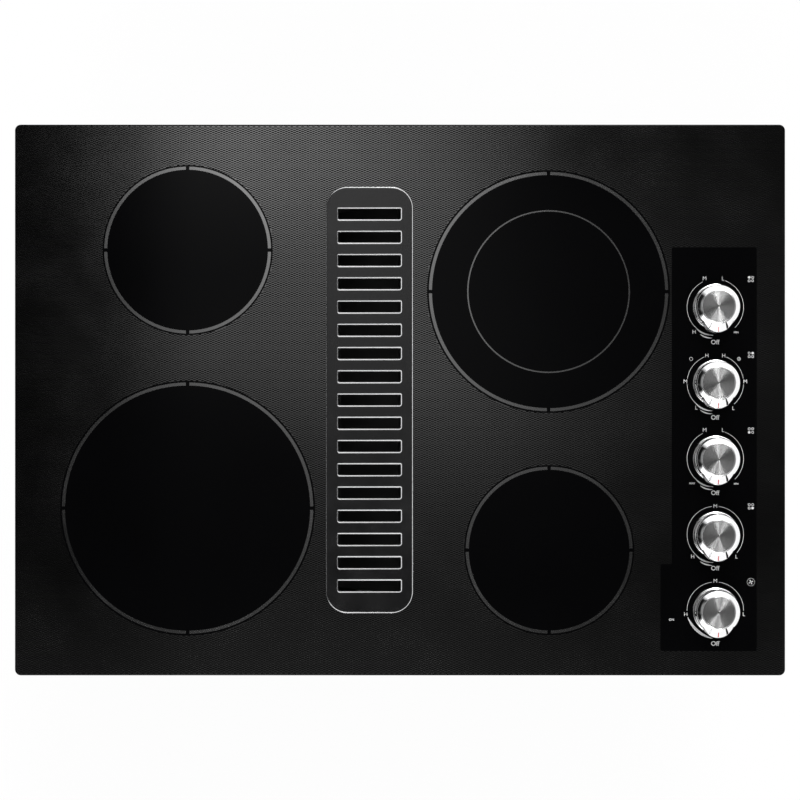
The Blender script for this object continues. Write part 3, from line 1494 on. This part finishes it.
class COOKTOP_OT_filter(bpy.types.Operator):
    """Expanded metal over both faces of the grease filter"""

    bl_idname = "cooktop.filter"
    bl_label = "Filter mesh"

    def execute(self, context):
        low, high = mm_box("filter_frame")
        middle = (low + high) / 2
        slope = math.radians(56)
        along = Vector((math.cos(slope), 0, math.sin(slope)))
        out = Vector((-math.sin(slope), 0, math.cos(slope)))
        cell_x, cell_y = 5.2, 9.0
        face_height = 3.9
        strand = Shape()
        for sx, sy in ((1, 1), (-1, 1), (-1, -1), (1, -1)):
            a = Vector((sx * cell_x / 2, 0, 0))
            b = Vector((0, sy * cell_y / 2, 0.35))
            side = Vector((0.32 * sx, 0.32 * sy, 0)) * 0.8
            face = [0, 1, 2, 3] if sx * sy < 0 else [3, 2, 1, 0]
            strand.add([a - side, b - side, b + side, a + side], [face])
        places = []
        for face in (1, -1):
            for i in range(-10, 11):
                for j in range(-21, 22):
                    p = middle + along * (i * cell_x) + Vector((0, j * cell_y, 0)) + out * face * face_height
                    places.append((p, out * face, along))
        repeated("filter_strands", places, strand, "filter_metal", "filter")
        return {"FINISHED"}


class COOKTOP_OT_rest(bpy.types.Operator):
    """Every other node with its finish"""

    bl_idname = "cooktop.rest"
    bl_label = "Inner parts"

    def execute(self, context):
        slots = {p["node"]: p["material_slot"] for p in frame["record"]["subparts"]}
        for name, thing in frame["nodes"].items():
            if thing.hide_render:
                continue
            thing.data.materials.clear()
            thing.data.materials.append(finish(slots[name]))
        return {"FINISHED"}


# Stage

def add_lamp(name, place, size, power):
    """Soft lamp that faces the plate's middle."""
    lamp = bpy.data.lights.new(name, "AREA")
    lamp.shape = "RECTANGLE"
    lamp.size, lamp.size_y = size
    lamp.energy = power
    thing = placed(name, lamp)
    thing.location = place
    thing.rotation_euler = (-Vector(place)).to_track_quat("-Z", "Y").to_euler()
    thing.visible_camera = False


def ramp(tree, value, reach, stops):
    """Level that a value between -reach and reach has, from (value, level) stops."""
    near = tree.node("ShaderNodeMapRange", {"Value": value, "From Min": -reach, "From Max": reach})
    n = tree.node("ShaderNodeValToRGB", {"Fac": near.outputs["Result"]})
    elements = n.color_ramp.elements
    elements.remove(elements[-1])
    for k, (at, level) in enumerate(stops):
        spot = (at + reach) / (2 * reach)
        e = elements[0] if k == 0 else elements.new(spot)
        e.position = spot
        e.color = (level, level, level, 1)
    return n.outputs["Color"]


def studio_world():
    """Dim overhead with soft patches, pale sides all round but the rear left, and strips front and rear."""
    world = bpy.data.worlds.new("studio")
    bpy.context.scene.world = world
    world.use_nodes = True
    t = Tree(world.node_tree)
    plus, times, maths = t.plus, t.times, t.maths
    where = t.node("ShaderNodeTexCoord")
    x, y, z = t.node("ShaderNodeSeparateXYZ", {0: where.outputs["Generated"]}).outputs

    # Patches overhead, over the slopes of the direction to the right and to the rear
    up = maths("MAXIMUM", z, 0.02)
    u, v = maths("DIVIDE", x, up), maths("DIVIDE", y, up)
    across = ramp(t, u, 0.4, [(-0.3, 0.0), (-0.135, 0.0), (-0.12, 0.04), (-0.107, 0.26), (-0.096, 0.68),
                              (-0.085, 0.96), (-0.07, 1.0), (-0.04, 0.94), (-0.02, 0.74), (0.007, 0.6),
                              (0.03, 0.4), (0.053, 0.15), (0.076, 0.04), (0.1, 0.01), (0.3, 0.0)])
    along = ramp(t, v, 0.4, [(-0.3, 0.0), (-0.12, 0.05), (-0.07, 0.06), (-0.03, 0.12), (-0.008, 0.2),
                             (0.012, 0.33), (0.03, 0.42), (0.055, 0.46), (0.075, 0.68), (0.095, 1.0),
                             (0.16, 1.0), (0.3, 0.0)])
    near = ramp(t, u, 0.4, [(-0.05, 0.0), (0.0, 0.8), (0.02, 1.0), (0.045, 0.95), (0.07, 0.6), (0.09, 0.36),
                            (0.12, 0.2), (0.2, 0.0)])
    low = ramp(t, v, 0.4, [(-0.2, 0.0), (-0.078, 0.12), (-0.038, 0.38), (-0.015, 0.72), (0.012, 1.0),
                           (0.06, 0.9), (0.085, 0.5), (0.1, 0.0)])
    front = ramp(t, v, 0.4, [(-0.3, 0.0), (-0.2, 0.8), (-0.14, 0.8), (-0.1, 0.3), (-0.075, 0.0)])
    patch = plus(times(times(across, along), 0.8), times(times(near, low), 0.19))
    patch = plus(patch, times(front, 0.06))

    # Sides, over the height of the direction; the rear left is shut
    level = maths("SQRT", maths("MAXIMUM", maths("SUBTRACT", 1.0, times(z, z)), 0.0001))
    side = maths("SUBTRACT", times(y, 0.13), times(x, 0.99))
    shut = ramp(t, maths("DIVIDE", side, level), 1, [(-1, 0.0), (0.7, 0.0), (0.82, 1.0), (1, 1.0)])
    open_side = ramp(t, z, 1, [(-1, 0.75), (-0.02, 0.75), (0.0, 1.05), (0.6, 1.05), (0.72, 0.2), (0.8, 0.02),
                               (0.9, 0.004), (1, 0.004)])
    shut_side = ramp(t, z, 1, [(-1, 0.75), (-0.02, 0.75), (0.0, 0.75), (0.05, 0.6), (0.1, 0.05),
                               (0.3, 0.008), (0.9, 0.004), (1, 0.004)])
    sky = plus(times(open_side, maths("SUBTRACT", 1.0, shut)), times(shut_side, shut))

    # Bright strips high at the front and the rear, which the turned caps spread into wedges
    turn = maths("DIVIDE", plus(times(y, 0.985), times(x, 0.17)), level)
    strip = ramp(t, turn, 1, [(-1, 0.8), (-0.994, 0.35), (-0.98, 0.06), (-0.88, 0.01), (-0.6, 0.0),
                              (-0.3, 0.018), (0.2, 0.022), (0.6, 0.0), (0.88, 0.01), (0.965, 0.08),
                              (0.988, 0.45), (1, 1.0)])
    tilt = ramp(t, z, 1, [(0.6, 0.0), (0.7, 1.0), (0.94, 1.0), (0.97, 0.0)])
    total = plus(plus(sky, patch), times(times(strip, tilt), 12.0))

    # The camera sees white
    seen = t.node("ShaderNodeLightPath").outputs["Is Camera Ray"]
    shown = t.node("ShaderNodeMix", {0: seen, 2: total, 3: 1.0}, data_type="FLOAT").outputs[0]
    back = t.nodes["Background"]
    t.link(shown, back.inputs["Strength"])
    back.inputs["Color"].default_value = grey(1)


def floor_finish():
    """Pale floor that keeps the shadow; its underside lets the view through."""
    f = Finish("pale_floor")
    f.done(f.tint(grey(0.9), f.noise(3, 2), 0.99, 1.01), Roughness=0.9)
    rays = f.node("ShaderNodeLightPath").outputs
    glow = f.node("ShaderNodeEmission", {"Strength": 1.0})
    seen = f.maths("MAXIMUM", rays["Is Camera Ray"], rays["Is Glossy Ray"])
    seen = f.maths("MAXIMUM", seen, rays["Is Transmission Ray"])
    share = f.times(seen, 0.95)
    pale = f.node("ShaderNodeMixShader", {0: share, 1: f.shader.outputs[0], 2: glow.outputs[0]})
    clear = f.node("ShaderNodeBsdfTransparent")
    under = f.node("ShaderNodeNewGeometry").outputs["Backfacing"]
    both = f.node("ShaderNodeMixShader", {0: under, 1: pale.outputs[0], 2: clear.outputs[0]})
    f.link(both.outputs[0], f.nodes["Material Output"].inputs["Surface"])
    return f.material


class COOKTOP_OT_stage(bpy.types.Operator):
    """Pale floor, soft lamps, studio surroundings and the camera straight above"""

    bl_idname = "cooktop.stage"
    bl_label = "Stage"

    def execute(self, context):
        low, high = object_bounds()
        reach, gap = 9.0, 0.5 * MM
        z = low[2] - gap
        data = bpy.data.meshes.new("floor")
        corners = [(-reach, -reach, z), (reach, -reach, z), (reach, reach, z), (-reach, reach, z)]
        data.from_pydata(corners, [], [(0, 1, 2, 3)])
        floor = placed("floor", data)
        data.materials.append(floor_finish())
        floor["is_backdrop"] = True
        studio_world()
        add_lamp("rear_lamp", (0.55, 2.1, 2.3), (3.6, 2.4), 32)
        add_lamp("front_lamp", (-0.6, -2.3, 2.2), (3.6, 2.4), 22)
        camera = bpy.data.cameras.new("camera")
        camera.sensor_width = SENSOR
        camera.lens = SENSOR * CAMERA_HEIGHT / FRAME_WIDTH
        camera.clip_start = 0.05
        camera.clip_end = 60
        thing = placed("camera", camera)
        thing.location = (0, 0, TOP_Z + CAMERA_HEIGHT)
        bpy.context.scene.camera = thing
        bpy.context.scene.view_settings.view_transform = "Standard"
        return {"FINISHED"}


class COOKTOP_PT_parts(bpy.types.Panel):
    """Buttons for the cooktop's pieces and its settings"""

    bl_idname = "COOKTOP_PT_parts"
    bl_label = "Cooktop"
    bl_space_type = "VIEW_3D"
    bl_region_type = "UI"
    bl_category = "Cooktop"

    def draw(self, context):
        column = self.layout.column()
        for kind in OPERATORS:
            column.operator(kind.bl_idname)
        for group in (context.scene.cooktop_sizes, context.scene.cooktop_colours):
            for name in group.bl_rna.properties.keys():
                if name not in ("rna_type", "name"):
                    column.prop(group, name)


OPERATORS = (
    COOKTOP_OT_glass,
    COOKTOP_OT_print,
    COOKTOP_OT_dials,
    COOKTOP_OT_knobs,
    COOKTOP_OT_caps,
    COOKTOP_OT_grille,
    COOKTOP_OT_filter,
    COOKTOP_OT_box,
    COOKTOP_OT_blower,
    COOKTOP_OT_jar,
    COOKTOP_OT_fasteners,
    COOKTOP_OT_rest,
    COOKTOP_OT_stage,
)
CLASSES = (CooktopSizes, CooktopColours) + OPERATORS + (COOKTOP_PT_parts,)


def register():
    for kind in CLASSES:
        bpy.utils.register_class(kind)
    bpy.types.Scene.cooktop_sizes = PointerProperty(type=CooktopSizes)
    bpy.types.Scene.cooktop_colours = PointerProperty(type=CooktopColours)


def unregister():
    del bpy.types.Scene.cooktop_sizes
    del bpy.types.Scene.cooktop_colours
    for kind in reversed(CLASSES):
        bpy.utils.unregister_class(kind)


def main():
    register()
    for kind in OPERATORS:
        group, name = kind.bl_idname.split(".")
        getattr(getattr(bpy.ops, group), name)()


if __name__ == "__main__":
    main()
